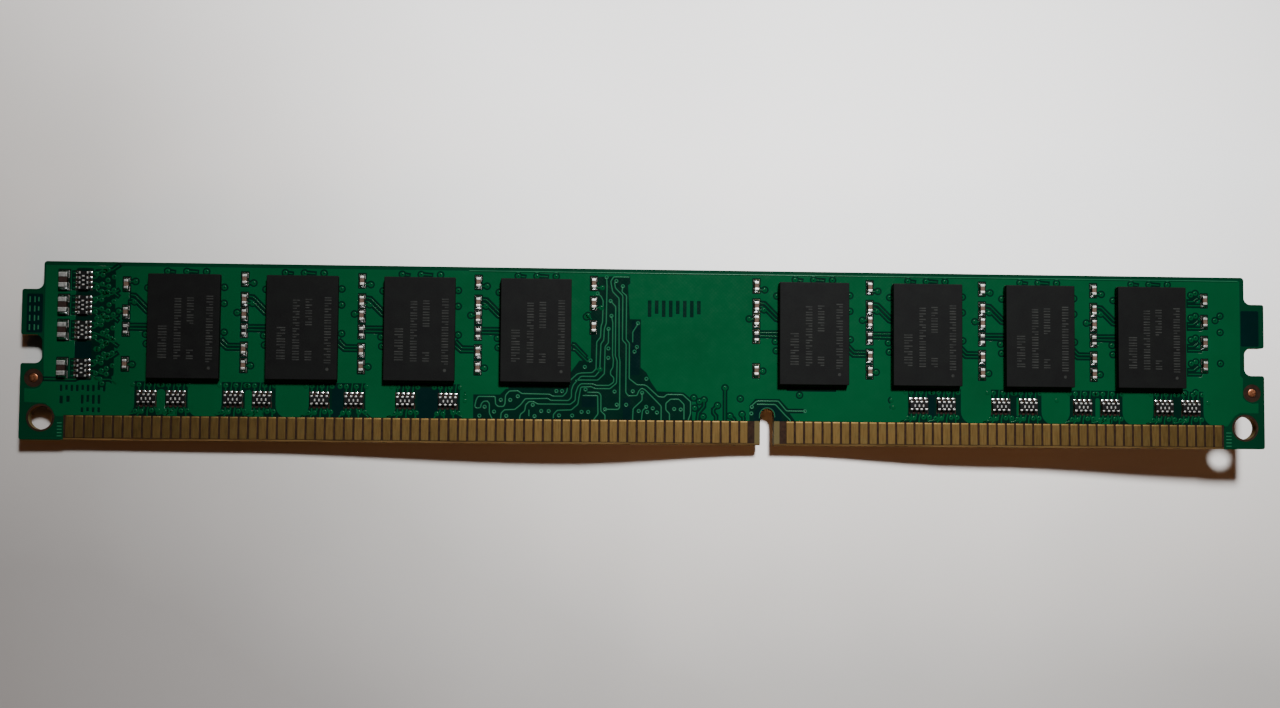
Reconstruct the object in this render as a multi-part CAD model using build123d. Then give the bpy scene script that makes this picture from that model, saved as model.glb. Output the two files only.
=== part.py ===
from build123d import *
import os

os.makedirs("parts", exist_ok=True)

# Memory module, lying flat on its lower packages. All sizes are in millimetres.
#
# Frame: +X runs along the contact edge, from the long contact row to the short one. +Y runs from
# the contact edge to the plain edge, and +Z out of the upper component side. The origin is
# under the middle of the board, on the surface that the lower packages rest on.
#
# A "height" below is a distance from the contact edge, along +Y.

# ---------------------------------------------------------------- board
board_height = 18.75
laminate_thickness = 1.21
mask_thickness = 0.03
copper_thickness = 0.04
ear_corner_radius = 0.25
top_corner_radius = 0.35
inner_corner_radius = 0.75
ear_depth = 2.20
latch_notch_low = 8.0
latch_notch_span = 3.0
step_height = 15.8
bevel_rise = 0.18
bevel_depth = 0.20

# ---------------------------------------------------------------- contact edge
contact_pitch = 1.0
contact_width = 0.82
contact_length = 2.35
contact_low = 0.20
long_count = 72
short_count = 48
key_contact_gap = 5.0
end_margin = 5.175
key_width = 1.5
key_depth = 3.95
window_end_margin = 0.20
window_top_margin = 0.05

# ---------------------------------------------------------------- holes and test dots
hole_diameter = 2.5
hole_inset = 2.175
hole_height = 2.30
hole_mask_margin = 0.22
dot_diameter = 0.95
dot_window_diameter = 1.95
dot_inset = 1.375
dot_heights = (6.45, 6.10)

# ---------------------------------------------------------------- memory packages
package_width = 7.5
package_length = 11.0
package_gap = 4.8
package_height = 12.0
left_package_inset = 14.725
right_package_inset = 10.625
packages_per_group = 4
ball_standoff = 0.30
ball_diameter = 0.44
ball_pitch = 0.8
ball_rows = 13
ball_columns = (-4, -3, -2, 2, 3, 4)
ball_neck_diameter = 0.32
ball_window_margin = 0.02
substrate_thickness = 0.22
mould_thickness = 0.60

# ---------------------------------------------------------------- chip parts
solder_film = 0.02
plating = 0.02
chip_length = 1.0
chip_width = 0.5
chip_thickness = 0.45
chip_band = 0.30
chip_pad_reach = 0.20
chip_pad_side = 0.06
thin_chip_thickness = 0.35
thin_chip_band = 0.25
bulk_length = 1.6
bulk_width = 0.9
bulk_thickness = 0.8
bulk_band = 0.52
bulk_pad_reach = 0.25
pad_window_margin = 0.05

# ---------------------------------------------------------------- resistor arrays
array_length = 2.0
array_width = 1.0
array_thickness = 0.36
array_inner_offset = 0.25
array_end_margin = 0.05
array_terminal_width = 0.30
array_band = 0.22
array_pad_reach = 0.34
overcoat_thickness = 0.04
overcoat_margin = 0.05

# ---------------------------------------------------------------- places of the chip parts
column_top = 17.80
column_gaps = (0.75, 0.17, 0.30, 0.60, 0.30)
first_column_heights = (16.40, 13.45, 8.00)
middle_left_heights = (17.15, 15.00, 12.45)
last_column_heights = (16.15, 13.80, 11.50, 9.00)
bulk_heights = (16.75, 14.15, 11.50, 7.50)
bulk_inset = 2.125
termination_inset = 4.155
data_array_height = 4.40
lane_contacts = 9
left_lane_start = 7.90
left_lane_spacings = (3.05, 3.00, 3.60, 4.50)
right_lane_start = 13.95
right_lane_spacings = (3.00, 3.00, 3.05, 3.00)

# ---------------------------------------------------------------- lower side only
strobe_shift = 2.60
lower_termination_heights = (16.75, 14.15, 7.50)
spd_width = 2.0
spd_length = 3.0
spd_thickness = 0.70
spd_height = 11.0
spd_pad_width = 0.25
spd_pad_length = 0.45
spd_pad_pitch = 0.5
spd_pad_count = 4
spd_flag_width = 1.3
spd_flag_length = 1.4
spd_chip_gap = 0.8

# ---------------------------------------------------------------- sizes that follow
long_span = (long_count - 1) * contact_pitch
short_span = (short_count - 1) * contact_pitch
board_length = 2 * end_margin + long_span + key_contact_gap + short_span
half_length = board_length / 2
half_top = half_length - ear_depth
long_first_x = end_margin - half_length
short_last_x = half_length - end_margin
short_first_x = short_last_x - short_span
key_x = (long_first_x + long_span + short_first_x) / 2

package_total = ball_standoff + substrate_thickness + mould_thickness
lower_face = package_total
upper_face = lower_face + laminate_thickness
package_pitch = package_width + package_gap
group_span = (packages_per_group - 1) * package_pitch
left_package_x = left_package_inset - half_top
right_package_x = half_top - right_package_inset - group_span
package_xs = [left_package_x + i * package_pitch for i in range(packages_per_group)]
package_xs += [right_package_x + i * package_pitch for i in range(packages_per_group)]

seat = copper_thickness + solder_film
window_top = contact_low + contact_length + window_top_margin
window_left = long_first_x - contact_width / 2 - window_end_margin
window_right = short_last_x + contact_width / 2 + window_end_margin

array_outer_offset = array_length / 2 - array_end_margin - array_terminal_width / 2
array_offsets = (-array_outer_offset, -array_inner_offset, array_inner_offset, array_outer_offset)

# A full column holds six chips, counted from its top: the fourth is a resistor.
chip_footprint = chip_length + 2 * chip_pad_reach
column_heights = [column_top - chip_footprint / 2]
for gap in column_gaps:
    column_heights.append(column_heights[-1] - chip_footprint - gap)
resistor_height = column_heights[3]
capacitor_heights = column_heights[:3] + column_heights[4:]


def board_y(height):
    """Y of a point at a height above the contact edge."""
    return height - board_height / 2


# ---------------------------------------------------------------- placing on the two sides
def on_side(side, x, height, turn=0):
    """Location of a footprint on one side; its local +Z points out of that side."""
    if side == "upper":
        return Pos(x, board_y(height), upper_face) * Rot(0, 0, turn)
    return Pos(x, board_y(height), lower_face) * Rot(0, 180, 0) * Rot(0, 0, turn)


def box(x_size, y_size, z_size, x=0.0, y=0.0, z=0.0):
    """Box centred on x and y, standing on z."""
    return Pos(x, y, z + z_size / 2) * Box(x_size, y_size, z_size)


def write(name, solids):
    """Writes one node, as a group of separate solids."""
    export_step(Compound(children=list(solids)), f"parts/{name}.step")


# ---------------------------------------------------------------- laminate
def key_slot():
    """Round-topped key notch, open at the contact edge."""
    radius = key_width / 2
    straight = key_depth - radius
    slot = Pos(key_x, board_y(straight / 2)) * Rectangle(key_width, straight)
    return slot + Pos(key_x, board_y(straight)) * Circle(radius)


def board_outline():
    """Outline of the board, with its latch notches, stepped corners and key notch."""
    notch_high = latch_notch_low + latch_notch_span
    right_side = [
        (half_length, 0.0, ear_corner_radius),
        (half_length, latch_notch_low, ear_corner_radius),
        (half_top, latch_notch_low, inner_corner_radius),
        (half_top, notch_high, inner_corner_radius),
        (half_length, notch_high, ear_corner_radius),
        (half_length, step_height, ear_corner_radius),
        (half_top, step_height, inner_corner_radius),
        (half_top, board_height, top_corner_radius),
    ]
    left_side = [(-x, height, radius) for x, height, radius in reversed(right_side)]
    corners = right_side + left_side
    points = [(x, board_y(height)) for x, height, _ in corners]
    radii = [radius for _, _, radius in corners]
    return make_face(FilletPolyline(*points, radius=radii, close=True)) - key_slot()


def hole_places():
    """Centres of the two round holes."""
    inset = half_length - hole_inset
    return [(-inset, board_y(hole_height)), (inset, board_y(hole_height))]


def bevel(face_z, outward):
    """Wedge that bevels the contact edge on one side of the laminate."""
    edge = board_y(0)
    length = window_right - window_left
    profile = Polyline(
        (window_left, edge, face_z),
        (window_left, edge + bevel_rise, face_z),
        (window_left, edge, face_z - outward * bevel_depth),
        close=True,
    )
    return extrude(make_face(profile), length, dir=(1, 0, 0))


def laminate():
    face = board_outline()
    for x, y in hole_places():
        face -= Pos(x, y) * Circle(hole_diameter / 2)
    body = Pos(0, 0, lower_face) * extrude(face, laminate_thickness)
    return body - bevel(upper_face, 1) - bevel(lower_face, -1)


# ---------------------------------------------------------------- contacts and test dots
def contact_row(side, first_x, count):
    pad = box(contact_width, contact_length, copper_thickness)
    height = contact_low + contact_length / 2
    return [on_side(side, first_x + i * contact_pitch, height) * pad for i in range(count)]


def dot_places():
    """Centres of the test dots, as x and height."""
    inset = half_length - dot_inset
    return [(-inset, dot_heights[0]), (inset, dot_heights[1])]


def test_dots():
    dot = extrude(Circle(dot_diameter / 2), copper_thickness)
    return [on_side("upper", x, height) * dot for x, height in dot_places()]


# ---------------------------------------------------------------- chip parts, in their own frame
# The long axis is X and z = 0 is the laminate. Each returns the pieces of one part.
def wrapped_end(length, width, thickness, band, side):
    """One plated end of a chip, wrapped round its body."""
    shell = box(band, width, thickness, side * (length - band) / 2, 0, seat)
    return shell - chip_core(length, width, thickness)


def chip_core(length, width, thickness):
    """Body of a chip, inside its plating."""
    size = (length - 2 * plating, width - 2 * plating, thickness - 2 * plating)
    return box(*size, z=seat + plating)


def solder_joint(inner_x, end_x, outer_x, width, rise):
    """Solder from under a terminal out to the pad's edge, with a hollow fillet."""
    low = copper_thickness
    middle = ((end_x + outer_x) / 2, low + solder_film + rise * 0.28)
    with BuildSketch(Plane.XZ) as profile:
        with BuildLine():
            Polyline((end_x, low + rise), (end_x, seat), (inner_x, seat), (inner_x, low), (outer_x, low))
            Line((outer_x, low), (outer_x, low + solder_film))
            ThreePointArc((outer_x, low + solder_film), middle, (end_x, low + rise))
        make_face()
    return extrude(profile.sketch, width / 2, both=True)


def turned(shape):
    """The same shape at the part's other end."""
    return Rot(0, 0, 180) * shape


def two_terminal(length, width, thickness, band, pad_reach):
    """Chip capacitor or resistor with two wrapped ends."""
    end_x = length / 2
    outer_x = end_x + pad_reach
    inner_x = end_x - band
    pad_width = width + 2 * chip_pad_side
    pad_length = outer_x - inner_x
    pad = box(pad_length, pad_width, copper_thickness, (outer_x + inner_x) / 2)
    joint = solder_joint(inner_x, end_x, outer_x, width, thickness * 0.6)
    window = (pad_length + 2 * pad_window_margin, pad_width + 2 * pad_window_margin)
    centre = (outer_x + inner_x) / 2
    return {
        "bodies": [chip_core(length, width, thickness)],
        "terminals": [wrapped_end(length, width, thickness, band, side) for side in (-1, 1)],
        "pads": [pad, turned(pad)],
        "solder": [joint, turned(joint)],
        "windows": [(-centre, 0, *window), (centre, 0, *window)],
    }


def resistor_array():
    """Four-element array, its elements in a row along X and its terminals on both long sides."""
    core = chip_core(array_length, array_width, array_thickness)
    end_y = array_width / 2
    outer_y = end_y + array_pad_reach
    inner_y = end_y - array_band
    pad_length = outer_y - inner_y
    side_joint = solder_joint(inner_y, end_y, outer_y, array_terminal_width, array_thickness * 0.7)
    terminals, pads, joints = [], [], []
    for offset in array_offsets:
        for side in (-1, 1):
            band_y = side * (array_width - array_band) / 2
            shell = box(array_terminal_width, array_band, array_thickness, offset, band_y, seat)
            pad_y = side * (outer_y + inner_y) / 2
            terminals.append(shell - core)
            pads.append(box(array_terminal_width, pad_length, copper_thickness, offset, pad_y))
            joints.append(Pos(offset, 0, 0) * Rot(0, 0, 90 * side) * side_joint)
    coat_size = (array_length - 2 * plating, array_width - 2 * (array_band + overcoat_margin))
    coat = box(*coat_size, overcoat_thickness, z=seat + array_thickness - plating)
    window = (array_length + 2 * pad_window_margin, pad_length + 2 * pad_window_margin)
    centre = (outer_y + inner_y) / 2
    return {
        "ceramics": [core],
        "overcoats": [coat],
        "terminals": terminals,
        "pads": pads,
        "solder": joints,
        "windows": [(0, -centre, *window), (0, centre, *window)],
    }


def chip_resistor():
    """Two-terminal chip resistor: ceramic, overcoat and plated ends."""
    part = two_terminal(chip_length, chip_width, thin_chip_thickness, thin_chip_band, chip_pad_reach)
    coat_length = chip_length - 2 * (thin_chip_band + overcoat_margin)
    coat_z = seat + thin_chip_thickness - plating
    part["ceramics"] = part.pop("bodies")
    part["overcoats"] = [box(coat_length, chip_width - 2 * plating, overcoat_thickness, z=coat_z)]
    return part


def chip_capacitor():
    return two_terminal(chip_length, chip_width, chip_thickness, chip_band, chip_pad_reach)


def bulk_capacitor():
    return two_terminal(bulk_length, bulk_width, bulk_thickness, bulk_band, bulk_pad_reach)


# ---------------------------------------------------------------- memory package, in its own frame
def package_mould():
    mould = box(package_width, package_length, mould_thickness)
    return Pos(0, 0, ball_standoff + substrate_thickness) * mould


def package_substrate():
    return box(package_width, package_length, substrate_thickness, z=ball_standoff)


def ball_places():
    """Centres of the solder balls under one package."""
    middle = (ball_rows - 1) / 2
    rows = [(row - middle) * ball_pitch for row in range(ball_rows)]
    return [(column * ball_pitch, y) for column in ball_columns for y in rows]


def ball_slots(package_x):
    """Mask windows under one package: a long one for each column of balls."""
    width = ball_diameter + 2 * ball_window_margin
    length = (ball_rows - 1) * ball_pitch + width
    slot = Rectangle(width, length)
    y = board_y(package_height)
    return [(Pos(package_x + column * ball_pitch, y) * slot).wire() for column in ball_columns]


def solder_ball():
    """Barrel: a ball squeezed between the laminate's pad and the substrate."""
    neck = ball_neck_diameter / 2
    waist = ball_diameter / 2
    middle = ball_standoff / 2
    outline = [(0, 0), (neck, 0), (waist, middle), (neck, ball_standoff), (0, ball_standoff)]
    profile = make_face(Plane.XZ * Polyline(*outline, close=True))
    return revolve(profile, Axis.Z)


# ---------------------------------------------------------------- layout of the two sides
def column_xs():
    """X of the chip columns: one each side of every package, shared between neighbours."""
    half = package_pitch / 2
    left = [left_package_x - half + i * package_pitch for i in range(packages_per_group + 1)]
    right = [right_package_x - half + i * package_pitch for i in range(packages_per_group + 1)]
    return left, right


def lane_xs():
    """X of the data arrays, two to each lane of contacts."""
    pitch = lane_contacts * contact_pitch
    xs = []
    for i, spacing in enumerate(left_lane_spacings):
        start = long_first_x + left_lane_start + i * pitch
        xs += [start, start + spacing]
    for i, spacing in enumerate(right_lane_spacings):
        start = short_first_x + right_lane_start + i * pitch
        xs += [start, start + spacing]
    return xs


def chip_layout(side):
    """Places of the small capacitors and of the chip resistors, as x, height and turn."""
    left, right = column_xs()
    full = left[1:4] + right[1:4]
    places = [(x, height, 90) for x in full for height in capacitor_heights]
    places += [(left[0], height, 90) for height in first_column_heights]
    places += [(left[4], height, 90) for height in middle_left_heights]
    places += [(right[0], height, 90) for height in column_heights[:3] + column_heights[5:]]
    places += [(right[4], height, 90) for height in last_column_heights]
    resistors = [(x, resistor_height, 90) for x in [left[0]] + full + [right[0]]]
    if side == "lower":
        shift = spd_length / 2 + spd_chip_gap + chip_width / 2
        places += [(spd_x(), spd_height + shift, 0)]
        resistors += [(spd_x(), spd_height - shift, 0)]
    return places, resistors


def array_layout(side):
    """Places of the resistor arrays, as x, height and turn."""
    termination_x = termination_inset - half_top
    if side == "upper":
        places = [(x, data_array_height, 0) for x in lane_xs()]
        return places + [(termination_x, height, 90) for height in bulk_heights]
    places = [(x + strobe_shift, data_array_height, 0) for x in package_xs]
    return places + [(termination_x, height, 90) for height in lower_termination_heights]


def bulk_layout():
    x = bulk_inset - half_top
    return [(x, height, 90) for height in bulk_heights]


def spd_x():
    """The configuration memory sits between the two groups of packages."""
    left, right = column_xs()
    return (left[4] + right[0]) / 2


# ---------------------------------------------------------------- configuration memory
def spd_terminal_boxes():
    """Eight lands along the two short edges and a thermal flag, as x, y and size."""
    lands = []
    middle = (spd_pad_count - 1) / 2
    for side in (-1, 1):
        for i in range(spd_pad_count):
            y = side * (spd_length - spd_pad_length) / 2
            lands.append(((i - middle) * spd_pad_pitch, y, spd_pad_width, spd_pad_length))
    return lands + [(0, 0, spd_flag_width, spd_flag_length)]


def configuration_memory():
    body = box(spd_width, spd_length, spd_thickness, z=seat + plating)
    edges = body.edges().filter_by(Axis.Z) + body.faces().sort_by(Axis.Z)[-1].edges()
    body = chamfer(edges, plating * 2)
    lands = spd_terminal_boxes()
    return {
        "body": body,
        "terminals": [box(w, h, plating, x, y, seat) for x, y, w, h in lands],
        "solder": [box(w, h, solder_film, x, y, copper_thickness) for x, y, w, h in lands],
        "pads": [box(w, h, copper_thickness, x, y) for x, y, w, h in lands],
        "windows": [(x, y, w, h) for x, y, w, h in lands],
    }


# ---------------------------------------------------------------- solder mask
def window_wire(side, placed, window):
    """Rectangle of a mask window, moved to where its part sits."""
    x, y, width, height = window
    spot = on_side(side, *placed) * Pos(x, y)
    centre = spot.position
    if placed[2] == 90:
        width, height = height, width
    rectangle = Pos(centre.X, centre.Y) * Rectangle(width, height)
    return rectangle.wire()


def mask(side, windows):
    """Skin of solder mask on one side, open at the contacts, pads, holes and test dots."""
    skin = board_outline()
    width = window_right - window_left
    centre_x = (window_right + window_left) / 2
    skin -= Pos(centre_x, board_y(window_top / 2)) * Rectangle(width, window_top)
    for x, y in hole_places():
        skin -= Pos(x, y) * Circle(hole_diameter / 2 + hole_mask_margin)
    inner = list(windows)
    for package_x in package_xs:
        inner += ball_slots(package_x)
    if side == "upper":
        for x, height in dot_places():
            inner.append((Pos(x, board_y(height)) * Circle(dot_window_diameter / 2)).wire())
    face = skin.face()
    face = Face(face.outer_wire(), list(face.inner_wires()) + inner)
    start = upper_face if side == "upper" else lower_face - mask_thickness
    return Pos(0, 0, start) * extrude(face, mask_thickness, dir=(0, 0, 1))


# ---------------------------------------------------------------- one component side
def collect(nodes, side, windows, part, places):
    """Adds a part's pieces at every place to the named groups, and its mask windows."""
    for group, shapes in part.items():
        if group == "windows":
            continue
        for placed in places:
            nodes.setdefault(group, []).extend(on_side(side, *placed) * shape for shape in shapes)
    for placed in places:
        windows += [window_wire(side, placed, window) for window in part["windows"]]


def renamed(part, names):
    """The same part with some of its groups under other names."""
    return {names.get(group, group): shapes for group, shapes in part.items()}


def component_side(side):
    capacitor_places, resistor_places = chip_layout(side)
    nodes, windows = {}, []
    capacitor = {"bodies": "capacitor_bodies", "terminals": "capacitor_terminals"}
    bulk = {"bodies": "bulk_capacitor_bodies", "terminals": "bulk_capacitor_terminals"}
    array = {group: "array_" + group for group in ("ceramics", "overcoats", "terminals")}
    resistor = {group: "resistor_" + group for group in ("ceramics", "overcoats", "terminals")}
    collect(nodes, side, windows, renamed(chip_capacitor(), capacitor), capacitor_places)
    collect(nodes, side, windows, renamed(bulk_capacitor(), bulk), bulk_layout())
    collect(nodes, side, windows, renamed(chip_resistor(), resistor), resistor_places)
    collect(nodes, side, windows, renamed(resistor_array(), array), array_layout(side))
    if side == "lower":
        spd = configuration_memory()
        place = (spd_x(), spd_height, 0)
        write("configuration_memory_body", [on_side(side, *place) * spd["body"]])
        terminals = [on_side(side, *place) * shape for shape in spd["terminals"]]
        write("configuration_memory_terminals", terminals)
        for group in ("pads", "solder"):
            nodes[group] += [on_side(side, *place) * shape for shape in spd[group]]
        windows += [window_wire(side, place, window) for window in spd["windows"]]
    for group, solids in nodes.items():
        write(f"{group}_{side}", solids)
    write(f"solder_mask_{side}", [mask(side, windows)])


def memory_packages(side):
    places = [on_side(side, x, package_height) for x in package_xs]
    for number, place in enumerate(places, start=1):
        write(f"memory_mould_{side}_{number}", [place * package_mould()])
    write(f"package_substrates_{side}", [place * package_substrate() for place in places])
    ball = solder_ball()
    balls = [place * Pos(x, y) * ball for place in places for x, y in ball_places()]
    write(f"solder_balls_{side}", balls)


write("board_laminate", [laminate()])
write("test_dots", test_dots())
for board_side in ("upper", "lower"):
    write(f"contacts_long_row_{board_side}", contact_row(board_side, long_first_x, long_count))
    write(f"contacts_short_row_{board_side}", contact_row(board_side, short_first_x, short_count))
    memory_packages(board_side)
    component_side(board_side)
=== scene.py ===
import math
import random

import bpy
from mathutils import Matrix, Vector
from mathutils.geometry import delaunay_2d_cdt


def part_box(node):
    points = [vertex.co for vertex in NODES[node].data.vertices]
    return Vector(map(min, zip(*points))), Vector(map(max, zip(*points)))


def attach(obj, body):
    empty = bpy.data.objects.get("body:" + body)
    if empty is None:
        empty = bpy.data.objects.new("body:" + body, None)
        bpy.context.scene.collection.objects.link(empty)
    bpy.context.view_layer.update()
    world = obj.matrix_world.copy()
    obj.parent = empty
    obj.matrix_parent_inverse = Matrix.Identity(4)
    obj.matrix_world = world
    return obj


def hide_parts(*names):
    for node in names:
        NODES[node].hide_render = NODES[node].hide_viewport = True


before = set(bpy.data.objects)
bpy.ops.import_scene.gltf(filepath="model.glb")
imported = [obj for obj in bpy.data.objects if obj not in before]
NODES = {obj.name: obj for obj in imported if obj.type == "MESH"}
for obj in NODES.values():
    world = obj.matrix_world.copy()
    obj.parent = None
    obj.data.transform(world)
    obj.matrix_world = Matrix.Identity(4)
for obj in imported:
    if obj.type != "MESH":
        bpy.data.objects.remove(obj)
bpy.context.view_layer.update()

# A memory module. Drawings below are in millimetres in a side's own frame: x along the contact edge,
# y the height above the contact edge, z out of the laminate's face. On the lower side x is turned round.
# ELEMENTS are the places of an array's four elements along it, and NEXT_TO is how far from a chip column
# the middle of the package beside it can lie. CLEARING is how far the pour stays off a via's centre.
MM = 0.001
SIDES = ("upper", "lower")
HALF_HEIGHT = 9.375
PACKAGE_Y = 12.0
BALL_PITCH = 0.8
KEY_NOTCH_X = 12.0
TRACE_END = 2.55
ELEMENTS = (-0.80, -0.25, 0.25, 0.80)
NEXT_TO = 8.0

COPPER = 0.04
SEAT = 0.06
BARE_TOP = 0.020
POUR_TOP = 0.048
TRACE_FOOT = BARE_TOP - 0.004
EDGE_WIDTH = 0.045
CLEARING = 0.46

board_low, board_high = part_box("board_laminate")


def side_matrix(side):
    """From a side's own frame in millimetres to the row frame in metres."""
    shift = Matrix.Translation((0, -HALF_HEIGHT * MM, 0))
    if side == "upper":
        return Matrix.Translation((0, 0, board_high.z)) @ shift @ Matrix.Scale(MM, 4)
    turn = Matrix.Rotation(math.pi, 4, "Y")
    return Matrix.Translation((0, 0, board_low.z)) @ shift @ turn @ Matrix.Scale(MM, 4)


def on_side(side, x, y, turn=0.0):
    return side_matrix(side) @ Matrix.Translation((x, y, 0)) @ Matrix.Rotation(math.radians(turn), 4, "Z")


def place_object(name, data):
    made = bpy.data.objects.new(name, data)
    bpy.context.scene.collection.objects.link(made)
    return made


# ---------------------------------------------------------------- reading places off the frame
def islands(node):
    """Boxes of a node's separate solids, as lowest and highest corners in the side's own frame."""
    mesh = NODES[node].data
    matrix = side_matrix("lower" if "_lower" in node else "upper").inverted()
    points = [matrix @ v.co for v in mesh.vertices]
    first = {}
    parent = []
    for i, p in enumerate(points):
        key = (round(p.x, 3), round(p.y, 3), round(p.z, 3))
        parent.append(first.setdefault(key, i))

    def root(i):
        while parent[i] != i:
            parent[i] = parent[parent[i]]
            i = parent[i]
        return i

    for a, b in mesh.edge_keys:
        a, b = root(a), root(b)
        if a != b:
            parent[b] = a
    boxes = {}
    for i, p in enumerate(points):
        low, high = boxes.setdefault(root(i), (p.copy(), p.copy()))
        for k in range(3):
            low[k] = min(low[k], p[k])
            high[k] = max(high[k], p[k])
    return sorted(boxes.values(), key=lambda pair: (round(pair[0].x, 2), pair[0].y))


def upright(low, high):
    return high.y - low.y > high.x - low.x


def middle_x(low, high):
    return (low.x + high.x) / 2


def places(node):
    """Centre and turn of each solid of a node, long side along x when the turn is 0."""
    found = []
    for low, high in islands(node):
        middle = (low + high) / 2
        found.append((middle.x, middle.y, 90.0 if upright(low, high) else 0.0))
    return found


def mask_loops(side):
    """Outlines of the mask's outer edge and of its windows, from the CAD mask's outer face."""
    mesh = NODES[f"solder_mask_{side}"].data
    matrix = side_matrix(side).inverted()
    points = [matrix @ v.co for v in mesh.vertices]
    top = max(p.z for p in points)
    keys = [(round(p.x, 3), round(p.y, 3)) for p in points]
    edges = set()
    for polygon in mesh.polygons:
        corners = list(polygon.vertices)
        if all(points[i].z > top - 1e-3 for i in corners):
            for a, b in zip(corners, corners[1:] + corners[:1]):
                a, b = keys[a], keys[b]
                if (b, a) in edges:
                    edges.remove((b, a))
                elif a != b:
                    edges.add((a, b))
    follow = {}
    for a, b in edges:
        follow.setdefault(a, []).append(b)
    loops = []
    while follow:
        start = next(iter(follow))
        loop = [start]
        while True:
            here = loop[-1]
            step = follow[here].pop()
            if not follow[here]:
                del follow[here]
            if step == start:
                break
            loop.append(step)
        loops.append(loop)
    return loops


# ---------------------------------------------------------------- shapes
class Piece:
    """Collects the faces of one visible piece."""

    def __init__(self):
        self.verts = []
        self.faces = []
        self.marks = []
        self.smooth = []

    def add(self, shape, matrix, mark=0, smooth=True):
        verts, faces = shape
        base = len(self.verts)
        self.verts += [matrix @ Vector(v) for v in verts]
        self.faces += [[base + i for i in face] for face in faces]
        self.marks += [mark] * len(faces)
        self.smooth += [smooth and len(face) < 5 for face in faces]

    def build(self, name, slot, materials, replaced=(), sharp=32):
        mesh = bpy.data.meshes.new(name)
        mesh.from_pydata(self.verts, [], self.faces)
        for m in materials:
            mesh.materials.append(m)
        mesh.polygons.foreach_set("material_index", self.marks)
        mesh.polygons.foreach_set("use_smooth", self.smooth)
        mesh.update()
        if sharp:
            mesh.set_sharp_from_angle(angle=math.radians(sharp))
        piece = place_object(name, mesh)
        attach(piece, "root")
        if replaced:
            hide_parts(*replaced)
        return piece


def loft(rings, low=True):
    """Skin over rings of points, each ring anticlockwise from above, from the lowest up."""
    count = len(rings[0])
    verts = [p for ring in rings for p in ring]
    faces = []
    for r in range(len(rings) - 1):
        a = r * count
        for i in range(count):
            j = (i + 1) % count
            faces.append((a + i, a + j, a + count + j, a + count + i))
    if low:
        faces.append(tuple(reversed(range(count))))
    faces.append(tuple(range((len(rings) - 1) * count, len(rings) * count)))
    return verts, faces


def rounded_ring(half_x, half_y, radius, z, steps=3, centre=(0.0, 0.0)):
    ring = []
    for sign_x, sign_y, start in ((1, 1, 0), (-1, 1, 90), (-1, -1, 180), (1, -1, 270)):
        for i in range(steps + 1):
            angle = math.radians(start + 90 * i / steps)
            x = centre[0] + sign_x * (half_x - radius) + radius * math.cos(angle)
            y = centre[1] + sign_y * (half_y - radius) + radius * math.sin(angle)
            ring.append((x, y, z))
    return ring


def block(half_x, half_y, low, high, edge, corner, centre=(0.0, 0.0), steps=3):
    """Box with rounded upper edges and corners."""
    levels = [(low, 0.0)]
    for i in range(steps + 1):
        angle = math.pi / 2 * i / steps
        levels.append((high - edge + edge * math.sin(angle), edge * (1 - math.cos(angle))))
    levels.append((high, edge * 1.4))
    rings = []
    for z, inset in levels:
        radius = max(corner - inset, corner * 0.35)
        rings.append(rounded_ring(half_x - inset, half_y - inset, radius, z, steps, centre))
    return loft(rings)


def lathe(profile, segments):
    """Solid of revolution from (radius, z) pairs, listed from the lowest up."""
    rings = []
    for radius, z in profile:
        ring = []
        for i in range(segments):
            angle = 2 * math.pi * i / segments
            ring.append((radius * math.cos(angle), radius * math.sin(angle), z))
        rings.append(ring)
    return loft(rings, low=False)


def grid_faces(rows, columns):
    """Faces of a grid whose points are listed row by row."""
    corners = [i * columns + j for i in range(rows - 1) for j in range(columns - 1)]
    return [(a, a + columns, a + columns + 1, a + 1) for a in corners]


def meniscus(inner, end, outer, half_width, half_pad, rise, crown, cells=8):
    """Solder that climbs a terminal's end face and runs out to the pad's edge, along +x."""
    verts = []
    reach = outer - end
    row = cells + 3
    for i in range(row):
        t = min(max((i - 1) / cells, 0.0), 1.0)
        x = inner + (outer - inner) * t
        for j in range(row):
            s = min(max((j - 1) / cells, 0.0), 1.0) * 2 - 1
            y = half_pad * s
            away = math.hypot(max(0.0, x - end), max(0.0, abs(y) - half_width))
            climb = max(0.0, 1 - away / reach) ** 1.6
            round_off = 1 - crown * s * s
            tip = 1 - 0.5 * max(0.0, (x - end) / reach) ** 3
            z = COPPER + 0.012 + (0.02 + rise * climb) * round_off * tip
            if i in (0, row - 1) or j in (0, row - 1):
                z = COPPER * 0.6
            verts.append((x, y, z))
    return verts, grid_faces(row, row)


def turned(shape, angle, shift=(0.0, 0.0)):
    verts, faces = shape
    c, s = math.cos(math.radians(angle)), math.sin(math.radians(angle))
    return [(c * x - s * y + shift[0], s * x + c * y + shift[1], z) for x, y, z in verts], faces


def mitred(normals, longest):
    """Mean direction of the normals at a corner, and how far the mitre reaches along it."""
    nx, ny = sum(n[0] for n in normals), sum(n[1] for n in normals)
    length = math.hypot(nx, ny) or 1.0
    nx, ny = nx / length, ny / length
    return nx, ny, min(1 / max(nx * normals[0][0] + ny * normals[0][1], 0.4), longest)


def offset_line(points, distance):
    """The line moved to its left by a distance, with mitred corners."""
    moved = []
    last = len(points) - 1
    for i, (x, y) in enumerate(points):
        normals = []
        for a, b in ((i - 1, i), (i, i + 1)):
            if a < 0 or b > last:
                continue
            dx, dy = points[b][0] - points[a][0], points[b][1] - points[a][1]
            length = math.hypot(dx, dy)
            normals.append((-dy / length, dx / length))
        nx, ny, mitre = mitred(normals, 1.6)
        moved.append((x + nx * distance * mitre, y + ny * distance * mitre))
    return moved


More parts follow.
